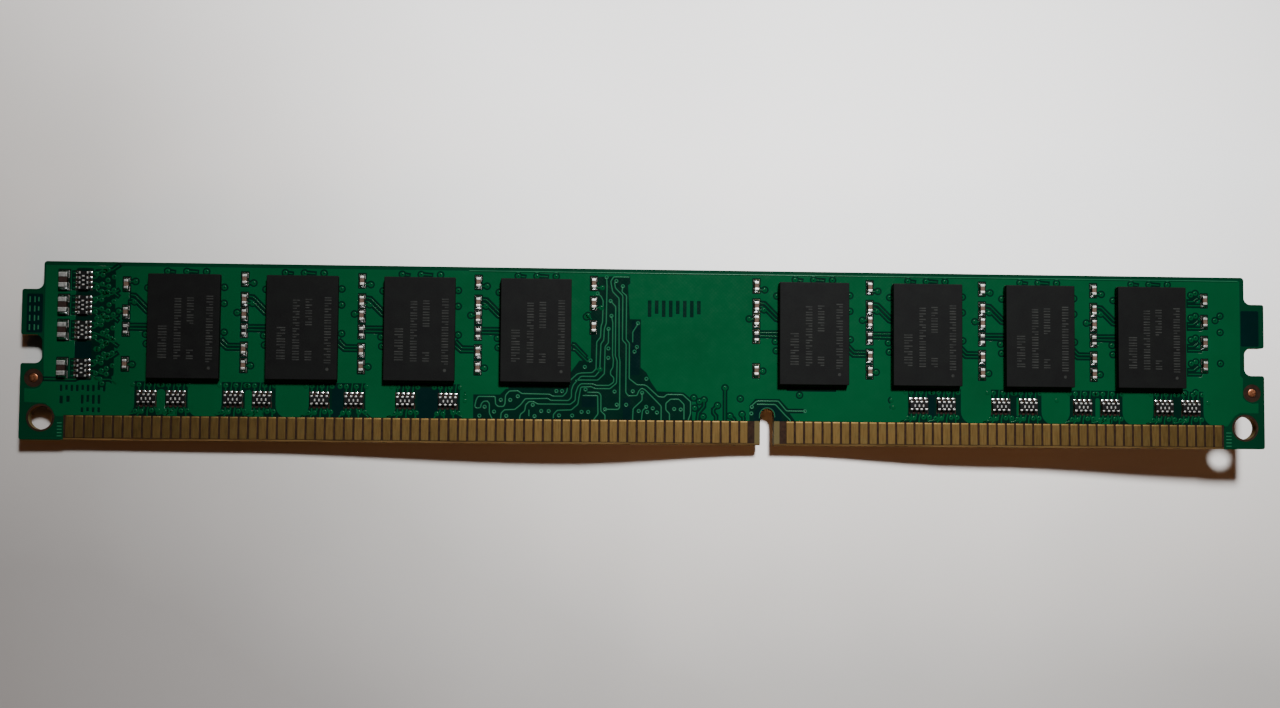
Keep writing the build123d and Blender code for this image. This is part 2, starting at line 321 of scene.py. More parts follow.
def towards(a, b, distance):
    """The point a distance from a on the way to b, and at most 0.4 of the way."""
    share = min(distance / math.hypot(b[0] - a[0], b[1] - a[1]), 0.4)
    return a[0] + (b[0] - a[0]) * share, a[1] + (b[1] - a[1]) * share


def softened(points):
    """The line with each corner cut into short steps."""
    out = [points[0]]
    for before, here, after in zip(points, points[1:], points[2:]):
        start, end = towards(here, before, 0.12), towards(here, after, 0.12)
        middle = ((start[0] + end[0] + here[0] * 2) / 4, (start[1] + end[1] + here[1] * 2) / 4)
        out += [start, middle, end]
    out.append(points[-1])
    return out


def ribbon(points, width):
    """A trace: a low ridge with slanted sides along a line."""
    line = softened(points) if len(points) > 2 else list(points)
    rows = []
    for share, z in ((0.5, TRACE_FOOT), (0.27, POUR_TOP), (-0.27, POUR_TOP), (-0.5, TRACE_FOOT)):
        rows.append([(x, y, z) for x, y in offset_line(line, width * share)])
    count = len(line)
    verts = [p for row in rows for p in row]
    faces = []
    for r in range(3):
        for i in range(count - 1):
            a = r * count + i
            faces.append((a + count, a + count + 1, a + 1, a))
    faces.append((0, count, 2 * count, 3 * count))
    faces.append((4 * count - 1, 3 * count - 1, 2 * count - 1, count - 1))
    return verts, faces


def halo(points, width):
    """Closed outline round a line, used where a trace or a via is cut free of the pour."""
    line = list(points)
    for end, inner in ((0, 1), (-1, -2)):
        dx, dy = line[end][0] - line[inner][0], line[end][1] - line[inner][1]
        length = math.hypot(dx, dy)
        line[end] = (line[end][0] + dx / length * width * 0.3, line[end][1] + dy / length * width * 0.3)
    return offset_line(line, width / 2) + offset_line(line, -width / 2)[::-1]


def disc(x, y, radius, segments=14):
    angles = [2 * math.pi * i / segments for i in range(segments)]
    return [(x + radius * math.cos(a), y + radius * math.sin(a)) for a in angles]


def rect(x0, y0, x1, y1):
    return [(x0, y0), (x1, y0), (x1, y1), (x0, y1)]


def rounded_rect(x0, y0, x1, y1, radius, steps=4):
    ring = rounded_ring((x1 - x0) / 2, (y1 - y0) / 2, radius, 0.0, steps, ((x0 + x1) / 2, (y0 + y1) / 2))
    return [(x, y) for x, y, _ in ring]


# ---------------------------------------------------------------- materials
def linear(colour):
    """Linear value of a colour given on the 0 to 255 scale of a screen."""
    out = []
    for c in colour:
        c = c / 255
        out.append(c / 12.92 if c <= 0.04045 else ((c + 0.055) / 1.055) ** 2.4)
    return (*out, 1.0)


class Surface:
    """A procedural material, built up one layer at a time in the row frame's coordinates."""

    def __init__(self, name, metallic=0.0, specular=0.5):
        self.material = bpy.data.materials.new(name)
        self.material.use_nodes = True
        self.tree = self.material.node_tree
        self.tree.nodes.clear()
        self.shader = self.node("ShaderNodeBsdfPrincipled")
        self.shader.inputs["Metallic"].default_value = metallic
        self.shader.inputs["Specular IOR Level"].default_value = specular
        output = self.node("ShaderNodeOutputMaterial")
        self.link(self.shader.outputs["BSDF"], output.inputs["Surface"])
        self.place = self.node("ShaderNodeTexCoord").outputs["Object"]
        self.height = None

    def node(self, kind, **settings):
        made = self.tree.nodes.new(kind)
        for key, value in settings.items():
            setattr(made, key, value)
        return made

    def link(self, a, b):
        self.tree.links.new(a, b)

    def noise(self, size, detail=3.0, stretch=(1, 1, 1), distortion=0.0):
        """Noise with features of a size in millimetres."""
        mapping = self.node("ShaderNodeMapping")
        scale = 1 / (size * MM)
        mapping.inputs["Scale"].default_value = [scale / s for s in stretch]
        self.link(self.place, mapping.inputs["Vector"])
        noise = self.node("ShaderNodeTexNoise")
        noise.inputs["Scale"].default_value = 1.0
        noise.inputs["Detail"].default_value = detail
        noise.inputs["Roughness"].default_value = 0.55
        noise.inputs["Distortion"].default_value = distortion
        self.link(mapping.outputs["Vector"], noise.inputs["Vector"])
        return noise.outputs["Fac"]

    def ramp(self, factor, stops):
        ramp = self.node("ShaderNodeValToRGB")
        elements = ramp.color_ramp.elements
        while len(elements) < len(stops):
            elements.new(0.5)
        for element, (position, colour) in zip(elements, stops):
            element.position = position
            element.color = linear(colour)
        self.link(factor, ramp.inputs["Fac"])
        return ramp.outputs["Color"]

    def mix(self, a, b, factor):
        mix = self.node("ShaderNodeMix", data_type="RGBA")
        self.link(factor, mix.inputs[0])
        self.link(a, mix.inputs[6])
        if isinstance(b, tuple):
            mix.inputs[7].default_value = linear(b)
        else:
            self.link(b, mix.inputs[7])
        return mix.outputs[2]

    def span(self, factor, low, high, start=0.3, end=0.7):
        span = self.node("ShaderNodeMapRange")
        for key, value in (("From Min", start), ("From Max", end), ("To Min", low), ("To Max", high)):
            span.inputs[key].default_value = value
        self.link(factor, span.inputs["Value"])
        return span.outputs["Result"]

    def maths(self, operation, a, b=None):
        made = self.node("ShaderNodeMath", operation=operation)
        for socket, value in zip(made.inputs, (a, b)):
            if isinstance(value, (int, float)):
                socket.default_value = value
            elif value is not None:
                self.link(value, socket)
        return made.outputs[0]

    def axis(self, name):
        separate = self.node("ShaderNodeSeparateXYZ")
        self.link(self.place, separate.inputs["Vector"])
        return separate.outputs[name]

    def colour(self, socket):
        self.link(socket, self.shader.inputs["Base Color"])

    def roughness(self, socket):
        self.link(socket, self.shader.inputs["Roughness"])

    def bump(self, factor, depth):
        """Raises the surface by up to a depth in millimetres."""
        bump = self.node("ShaderNodeBump")
        bump.inputs["Strength"].default_value = 1.0
        bump.inputs["Distance"].default_value = depth * MM
        self.link(factor, bump.inputs["Height"])
        if self.height is not None:
            self.link(self.height, bump.inputs["Normal"])
        self.height = bump.outputs["Normal"]
        self.link(self.height, self.shader.inputs["Normal"])


def mask_material(name, low, middle, high, gloss=0.02):
    """Solder mask: a green coat with small dips, and on wide areas a gloss and a faint weave."""
    s = Surface(name, specular=gloss)
    tone = s.ramp(s.noise(7.0, 3.0), [(0.25, low), (0.52, middle), (0.80, high)])
    fine = s.noise(0.12, 2.0)
    s.colour(s.mix(tone, low, s.span(fine, 0.0, 0.25, 0.45, 0.75)))
    s.roughness(s.span(s.noise(0.9, 3.0), 0.15, 0.21))
    if gloss > 0.1:
        wave_x = s.maths("SINE", s.maths("MULTIPLY", s.axis("X"), 2 * math.pi / (0.42 * MM)))
        wave_y = s.maths("SINE", s.maths("MULTIPLY", s.axis("Y"), 2 * math.pi / (0.42 * MM)))
        s.bump(s.maths("MULTIPLY", wave_x, wave_y), 0.0012)
    s.bump(s.noise(0.5, 2.0), 0.006)
    return s.material


def metal_material(name, low, high, rough, grain):
    s = Surface(name, metallic=1.0)
    s.colour(s.ramp(s.noise(grain * 2.4), [(0.30, low), (0.72, high)]))
    s.roughness(s.span(s.noise(grain), rough[0], rough[1]))
    s.bump(s.noise(grain * 0.6, 2.0), 0.004)
    return s.material


def plain_material(name, low, high, rough, grain=0.15, depth=0.006, specular=0.4, speck=None):
    s = Surface(name, specular=specular)
    tone = s.ramp(s.noise(grain * 5, 4.0), [(0.28, low), (0.74, high)])
    if speck:
        tone = s.mix(tone, speck, s.span(s.noise(grain * 0.5, 1.0), 0.0, 0.7, 0.66, 0.74))
    s.colour(tone)
    s.roughness(s.span(s.noise(grain, 3.0), rough[0], rough[1]))
    s.bump(s.noise(grain * 0.5, 3.0), depth)
    return s.material


def contact_material():
    """Gold plate with brushed streaks, insertion scuffs and a tone of its own on every contact."""
    s = Surface("contact gold", metallic=1.0)
    number = s.maths("FLOOR", s.maths("DIVIDE", s.axis("X"), 1.0 * MM))
    cell = s.node("ShaderNodeTexWhiteNoise", noise_dimensions="1D")
    s.link(number, cell.inputs["W"])
    gold = s.ramp(cell.outputs["Value"], [(0.0, (72, 56, 30)), (0.5, (76, 59, 32)), (1.0, (80, 62, 34))])
    streaks = s.noise(0.09, 3.0, (1, 22, 1))
    worn = s.mix(gold, (62, 46, 25), s.span(streaks, 0.0, 0.6, 0.48, 0.75))
    blotch = s.noise(0.7, 3.0)
    s.colour(s.mix(worn, (72, 64, 38), s.span(blotch, 0.0, 0.4, 0.5, 0.8)))
    s.roughness(s.span(s.noise(0.16, 3.0, (1, 8, 1)), 0.38, 0.50))
    s.bump(s.noise(0.07, 2.0, (1, 30, 1)), 0.004)
    return s.material


def laminate_material():
    """Glass-epoxy: dark brown where the mask is open, with glass layers along its cut edges."""
    s = Surface("glass epoxy laminate", specular=0.04)
    layers = s.noise(0.16, 4.0, (40, 40, 1), distortion=0.6)
    tones = [(0.30, (58, 44, 26)), (0.48, (92, 76, 46)), (0.62, (120, 104, 66)), (0.8, (74, 58, 34))]
    edge = s.ramp(layers, tones)
    face = s.ramp(s.noise(0.5, 3.0), [(0.3, (26, 17, 12)), (0.7, (40, 26, 18))])
    normal = s.node("ShaderNodeNewGeometry").outputs["True Normal"]
    parts = s.node("ShaderNodeSeparateXYZ")
    s.link(normal, parts.inputs["Vector"])
    upright = s.maths("GREATER_THAN", s.maths("ABSOLUTE", parts.outputs["Z"]), 0.9)
    from_key = s.maths("ABSOLUTE", s.maths("SUBTRACT", s.axis("X"), KEY_NOTCH_X * MM))
    near_key = s.maths("LESS_THAN", from_key, 1.35 * MM)
    face = s.mix(face, (70, 62, 38), near_key)
    s.colour(s.mix(edge, face, upright))
    s.roughness(s.span(s.noise(0.2, 3.0), 0.55, 0.8))
    s.bump(s.noise(0.08, 3.0, (3, 3, 1)), 0.01)
    return s.material


def mould_material():
    s = Surface("mould compound", specular=0.035)
    tone = s.ramp(s.noise(1.6, 4.0), [(0.3, (10, 10, 10)), (0.7, (13, 14, 13))])
    speck = s.span(s.noise(0.06, 1.0), 0.0, 0.6, 0.66, 0.76)
    s.colour(s.mix(tone, (24, 25, 24), speck))
    s.roughness(s.span(s.noise(0.3, 3.0), 0.42, 0.54))
    s.bump(s.noise(0.055, 3.0), 0.006)
    return s.material


POUR = mask_material("mask over copper", (0, 52, 27), (0, 55, 29), (0, 58, 31), 0.12)
BARE = mask_material("mask over laminate", (0, 20, 14), (0, 23, 16), (0, 26, 18), 0.12)
DEEP = mask_material("mask over clear laminate", (0, 16, 15), (0, 19, 18), (0, 22, 21), 0.12)
RIM = mask_material("mask over the board's rim", (0, 36, 20), (0, 39, 22), (0, 42, 24), 0.12)
LOW_POUR = mask_material("mask over narrow copper", (0, 50, 26), (0, 54, 28), (0, 58, 31))
# The pour's edges are painted a lighter green than the pour: a painted highlight along them.
EDGE_HIGHLIGHT = mask_material("mask at copper edges with painted highlight", (0, 50, 28), (2, 58, 34), (6, 66, 40))
# Traces and via rings are painted a lighter green than the pour: a painted highlight for the light their
# ridges catch.
TRACE_HIGHLIGHT = mask_material("mask over traces with painted highlight", (18, 66, 44), (25, 74, 50), (34, 83, 58))
PIT = mask_material("mask in via holes", (0, 18, 14), (0, 24, 18), (2, 30, 24))
GOLD = contact_material()
LAMINATE = laminate_material()
MOULD = mould_material()
MARKING = plain_material("laser marking", (26, 27, 26), (44, 45, 43), (0.6, 0.8), 0.12, 0.004, 0.04)
SUBSTRATE = plain_material("package substrate", (8, 24, 16), (14, 36, 24), (0.4, 0.6), 0.2)
SOLDER = metal_material("solder", (150, 152, 153), (214, 214, 212), (0.16, 0.30), 0.12)
PAD = metal_material("tinned pad", (150, 150, 148), (206, 205, 200), (0.28, 0.45), 0.15)
TIN = metal_material("tin plate", (118, 117, 113), (186, 184, 178), (0.28, 0.46), 0.08)
ALUMINA = plain_material("alumina", (110, 107, 100), (140, 137, 130), (0.5, 0.7), 0.08)
ARRAY_MARK = plain_material("resistor marking", (104, 104, 100), (140, 140, 136), (0.5, 0.7), 0.06)
OVERCOAT = plain_material("resistor overcoat", (6, 6, 6), (13, 13, 13), (0.30, 0.5), 0.08, 0.004, 0.08)
CERAMIC = plain_material(
    "capacitor ceramic", (64, 50, 41), (86, 68, 57), (0.45, 0.65), 0.07, specular=0.1, speck=(104, 86, 74)
)
BULK = plain_material(
    "bulk capacitor ceramic", (24, 14, 11), (36, 22, 17), (0.4, 0.6), 0.09, specular=0.1, speck=(62, 44, 34)
)
DOT = metal_material("bare copper", (120, 72, 48), (170, 108, 76), (0.24, 0.42), 0.12)


# ---------------------------------------------------------------- mask artwork
class Artwork:
    """The copper pattern under one side's mask, as closed outlines of several kinds."""

    def __init__(self, side):
        self.side = side
        self.shapes = []
        self.traces = []
        self.vias = []
        loops = mask_loops(side)
        widest = max(loops, key=lambda loop: max(p[0] for p in loop) - min(p[0] for p in loop))
        for loop in loops:
            self.shape("outline" if loop is widest else "window", loop)

    def shape(self, kind, points):
        self.shapes.append((kind, points))

    def trace(self, points, free=False, width=0.14, dull=False):
        """A trace; free cuts the pour back along it and leaves it in the pour's own green, as dull does;
        otherwise it is painted a lighter green, a painted highlight.
        """
        self.traces.append((points, width, free or dull))
        if free:
            self.shape("void", halo(points, width + CLEARING))

    def via(self, x, y, free=False, dull=False):
        self.vias.append((x, y, free or dull))
        if free:
            self.shape("void", disc(x, y, CLEARING))

    def drill(self, spots, free=False):
        for x, y in spots:
            self.via(x, y, free)

    def sheet(self):
        """Triangles of the mask, sorted into kinds."""
        coords, faces, kinds = [], [], []
        for kind, points in self.shapes:
            area = sum(a[0] * b[1] - b[0] * a[1] for a, b in zip(points, points[1:] + points[:1]))
            ordered = points if area > 0 else points[::-1]
            faces.append(list(range(len(coords), len(coords) + len(ordered))))
            coords += [Vector(p) for p in ordered]
            kinds.append(kind)
        result = delaunay_2d_cdt(coords, [], faces, 1, 1e-4, True)
        verts, triangles, sources = result[0], result[2], result[5]
        sorted_faces = []
        for triangle, source in zip(triangles, sources):
            inside = {kinds[i] for i in source}
            if "outline" not in inside or "window" in inside:
                continue
            if "island" in inside:
                kind = "pour"
            elif "deep" in inside:
                kind = "deep"
            elif "void" in inside:
                kind = "bare"
            elif "pour" in inside:
                kind = "pour"
            else:
                kind = "rim"
            sorted_faces.append((list(triangle), kind))
        return [(v.x, v.y) for v in verts], sorted_faces

    def build(self):
        points, triangles = self.sheet()
        matrix = side_matrix(self.side)
        piece = Piece()
        order = ("pour", "bare", "deep", "rim")
        levels = {"pour": POUR_TOP, "bare": BARE_TOP, "deep": BARE_TOP, "rim": BARE_TOP}
        index = {}
        owner = {}
        for triangle, kind in triangles:
            face = []
            for i in triangle:
                key = (i, levels[kind])
                if key not in index:
                    index[key] = len(piece.verts)
                    piece.verts.append(matrix @ Vector((*points[i], levels[kind])))
                face.append(index[key])
            piece.faces.append(face)
            piece.marks.append(order.index(kind))
            piece.smooth.append(False)
            for a, b in zip(triangle, triangle[1:] + triangle[:1]):
                owner[(a, b)] = kind
        slopes, drops = {}, []
        for (a, b), kind in owner.items():
            other = owner.get((b, a))
            if other is None:
                drops.append((a, b, levels[kind]))
            elif kind == "pour" and other != "pour":
                dx, dy = points[b][0] - points[a][0], points[b][1] - points[a][1]
                length = math.hypot(dx, dy)
                slopes[(a, b)] = (dy / length, -dx / length)
        # The outer walls and the pour's sloped edges below take the lighter edge mask, a painted highlight.
        for a, b, level in drops:
            quad = [(*points[a], level), (*points[a], 0.0), (*points[b], 0.0), (*points[b], level)]
            piece.add((quad, [(0, 1, 2, 3)]), matrix, 4, False)
        leans = {}
        for (a, b), normal in slopes.items():
            for i in (a, b):
                leans.setdefault(i, []).append(normal)
        feet = {}
        for i, normals in leans.items():
            nx, ny, mitre = mitred(normals, 1.5)
            feet[i] = []
            for share, z in ((0.0, POUR_TOP), (0.45, POUR_TOP - 0.009), (1.0, BARE_TOP - 0.003)):
                reach = EDGE_WIDTH * share * mitre
                foot = Vector((points[i][0] + nx * reach, points[i][1] + ny * reach, z))
                feet[i].append(len(piece.verts))
                piece.verts.append(matrix @ foot)
        for a, b in slopes:
            for step in (0, 1):
                piece.faces.append([feet[a][step], feet[a][step + 1], feet[b][step + 1], feet[b][step]])
                piece.marks.append(4)
                piece.smooth.append(True)
        name = f"mask_{self.side}"
        piece.build(name, "solder_mask", [POUR, BARE, DEEP, RIM, EDGE_HIGHLIGHT], [f"solder_mask_{self.side}"], 0)

        lines = Piece()
        # Traces and via rings that are not dull take the lighter mask, a painted highlight; dull ones keep
        # the pour's green.
        for line, width, dull in self.traces:
            lines.add(ribbon(line, width), matrix, 2 if dull else 0)
        high, low, pit = POUR_TOP + 0.004, POUR_TOP + 0.003, 0.026
        ring = lathe([(0.23, TRACE_FOOT), (0.20, high), (0.13, high), (0.10, pit)], 14)
        pad = lathe([(0.28, TRACE_FOOT), (0.25, low), (0.09, low), (0.07, pit)], 16)
        for x, y, dull in self.vias:
            at = matrix @ Matrix.Translation((x, y, 0))
            lines.add(pad if dull else ring, at, 2 if dull else 0)
            lines.marks[-1] = 1
        lines.build(f"traces_{self.side}", "solder_mask", [TRACE_HIGHLIGHT, PIT, LOW_POUR], (), 50)


# ---------------------------------------------------------------- what both sides share
def pour_outline():
    return [
        (-64.25, 18.30), (-64.25, 7.90), (-64.20, 6.90), (-64.25, 6.10), (-64.60, 5.45), (-65.10, 5.25),
        (-66.15, 5.30), (-66.15, 3.95), (-64.00, 3.85), (-63.30, 3.00), (-62.90, 2.50), (62.50, 2.50),
        (63.30, 3.60), (63.90, 3.95), (65.95, 3.95), (65.95, 4.95), (65.30, 4.90), (64.60, 5.15),
        (64.20, 5.60), (64.25, 7.70), (63.95, 8.00), (63.95, 18.30),
    ]  # fmt: skip


def package_centres(side):
    found = []
    for i in range(1, 9):
        low, high = islands(f"memory_mould_{side}_{i}")[0]
        found.append(middle_x(low, high))
    return sorted(found)


def free_the_pads(art):
    """Cuts the pour back round every chip and its pads, by margins that keep the outlines' edges apart."""
    margins = [
        ("pads", 0.187),
        ("capacitor_bodies", 0.223),
        ("resistor_ceramics", 0.223),
        ("bulk_capacitor_bodies", 0.241),
    ]
    for node, grow in margins:
        for low, high in islands(f"{node}_{art.side}"):
            art.shape("void", rounded_rect(low.x - grow, low.y - grow, high.x + grow, high.y + grow, 0.12, 2))


def array_lines(art, x, top):
    """Traces from one data array's pads down to its contacts and up towards its package."""
    first = round(x) - 1.5
    for i, offset in enumerate(ELEMENTS):
        foot = first + i
        start = x + offset
        bend = 3.62 - abs(foot - start) * 0.9
        above, below = max(bend + 0.25, 3.0), max(bend - 0.45, 2.72)
        art.trace([(start, 3.80), (start, above), (foot, below), (foot, TRACE_END)], False, 0.17, True)
        if i % 2:
            art.trace([(start, 5.10), (start, 5.55), (start + 0.1, top)], False, 0.15, True)
        else:
            art.trace([(start, 5.10), (start, 5.65)], False, 0.15, True)
            art.via(start, 5.85, False, True)
    for shift in (-1.15, -0.50, 0.55, 1.20):
        art.via(x + shift, 3.05 + 0.1 * (shift > 0), False, True)
    for shift in (-1.45, 1.30):
        art.via(x + shift, 5.85, False, True)


def column_lines(art, x, left, right):
    """The vias and trace pairs that repeat beside each chip column."""
    if right:
        art.trace([(x + 0.45, 15.30), (x + 0.9, 15.25), (x + 2.3, 13.85), (x + 2.6, 13.8)], True)
        art.trace([(x + 0.45, 14.90), (x + 0.75, 14.85), (x + 2.1, 13.5), (x + 2.6, 13.4)], True)
        art.trace([(x + 0.40, 12.10), (x + 2.5, 12.12)], True)
        art.trace([(x + 0.40, 11.75), (x + 2.5, 11.72)], True)
        art.drill([(x + 2.05, 11.15), (x + 2.15, 10.15), (x + 2.20, 16.05)], True)
    if left:
        art.trace([(x - 0.45, 10.10), (x - 1.7, 10.10), (x - 2.3, 10.75)], True)
        art.trace([(x - 0.45, 9.74), (x - 1.8, 9.74), (x - 2.5, 10.35)], True)
        art.drill([(x - 2.15, 16.20), (x - 2.15, 14.50), (x - 2.10, 11.45)], True)
    for dx, y in ((0.90, 16.70), (0.82, 14.55), (0.72, 7.95), (-0.78, 13.55)):
        art.trace([(x + math.copysign(0.28, dx), y), (x + dx, y)], True)
        art.via(x + dx, y, True)


def bars(art, x0, y0, x1, y1, count, share=0.6):
    """A row of plain upright bars, cut out of the pour."""
    pitch = (x1 - x0) / count
    width = pitch * share
    for i in range(count):
        left = x0 + pitch * i
        drop = (y1 - y0) * (0.18 if i % 3 == 1 else 0.0)
        art.shape("void", rounded_rect(left, y0 + drop, left + width, y1, min(0.07, width * 0.4), 2))


def termination_field(art, x, rng):
    """The dark strip under the termination arrays, and the traces and vias that leave it."""
    art.shape("void", rounded_rect(x - 0.85, 6.20, x + 1.02, 18.10, 0.25))
    art.shape("deep", rounded_rect(x - 0.78, 8.60, x + 0.92, 10.30, 0.12))
    art.shape("void", rounded_rect(x + 1.0, 6.60, x + 3.30, 18.00, 0.35))
    for low, high in islands(f"array_ceramics_{art.side}"):
        if not upright(low, high):
            continue
        middle = (low.y + high.y) / 2
        for i, offset in enumerate(ELEMENTS):
            y = middle + offset
            out = x + 1.75 + 0.62 * (i % 2) + rng.uniform(-0.06, 0.06)
            end = y + (0.34 if i > 1 else -0.34)
            art.trace([(x + 0.80, y), (x + 1.2, y), (out - 0.3, end), (out, end)], False, 0.15, True)
            art.via(out + 0.14, end, False, True)
            if i in (0, 3):
                art.trace([(out + 0.35, end), (x + 2.9, end), (x + 3.6, end + (0.5 if i else -0.5))], True)
            art.trace([(x - 0.80, y), (x - 1.15, y)], True)
    for y in (10.6, 10.1, 9.6, 9.1, 8.7, 12.75, 13.05, 15.45, 17.75, 5.95):
        art.via(x + 1.35 + rng.uniform(0.0, 1.6), y + rng.uniform(-0.08, 0.08), y < 6.6, True)
    for i in range(34):
        via_x = x + 1.3 + 0.62 * (i % 4) + rng.uniform(-0.1, 0.1)
        via_y = 6.9 + 0.33 * i + rng.uniform(-0.1, 0.1)
        art.via(via_x, via_y, False, True)


def lobe(x0, x1, base, top, left, right, steps=6):
    """Outline of a tongue of pour whose lower corners are rounded."""
    points = [(x1, top), (x0, top)]
    for centre, radius, start in ((x0 + left, left, 180), (x1 - right, right, 270)):
        if radius == 0:
            points.append((centre, base))
            continue
        for i in range(steps + 1):
            angle = math.radians(start + 90 * i / steps)
            points.append((centre + radius * math.cos(angle), base + radius + radius * math.sin(angle)))
    return points


# ---------------------------------------------------------------- upper side
def upper_arrays(art):
    """Dark areas round the data arrays, with the pour's lobes between them."""
    top = 6.25
    for low, high in ((-57.0, -19.6), (25.6, 62.2)):
        art.shape("void", rect(low, 2.3, high, top))
    lobes = [
        (-57.2, -54.9, 0.0, 1.3), (-49.3, -45.85, 1.3, 1.3), (-40.15, -36.75, 1.3, 1.3),
        (-30.75, -27.65, 1.3, 1.3), (-20.8, -19.45, 0.9, 0.0), (25.4, 27.25, 0.0, 1.2),
        (33.1, 36.35, 1.3, 1.3), (41.95, 45.0, 1.3, 1.3), (50.9, 54.25, 1.3, 1.3), (59.9, 62.5, 1.3, 0.0),
    ]  # fmt: skip
    for low, high, left, right in lobes:
        art.shape("island", lobe(low, high, 2.5, top + 0.3, left, right))
    for low, high, base in ((-52.5, -51.7, 2.9), (-43.35, -42.7, 2.9), (39.2, 39.4, 3.4), (47.9, 48.3, 2.9)):
        art.shape("island", rounded_rect(low, base, high, 5.35, (high - low) * 0.45))
    for x0, y0, x1, y1 in ((-51.9, 2.62, -50.5, 3.35), (-43.2, 2.62, -41.5, 3.25), (48.2, 2.62, 49.7, 3.25)):
        art.shape("island", rounded_rect(x0, y0, x1, y1, 0.28))
    for x0, y0, x1, y1 in ((-34.3, 2.62, -33.1, 5.9), (-25.3, 2.62, -23.0, 5.8), (29.4, 2.62, 30.2, 5.7)):
        art.shape("deep", rounded_rect(x0, y0, x1, y1, 0.1))
    for low, high in islands("array_ceramics_upper"):
        if not upright(low, high):
            array_lines(art, middle_x(low, high), top)


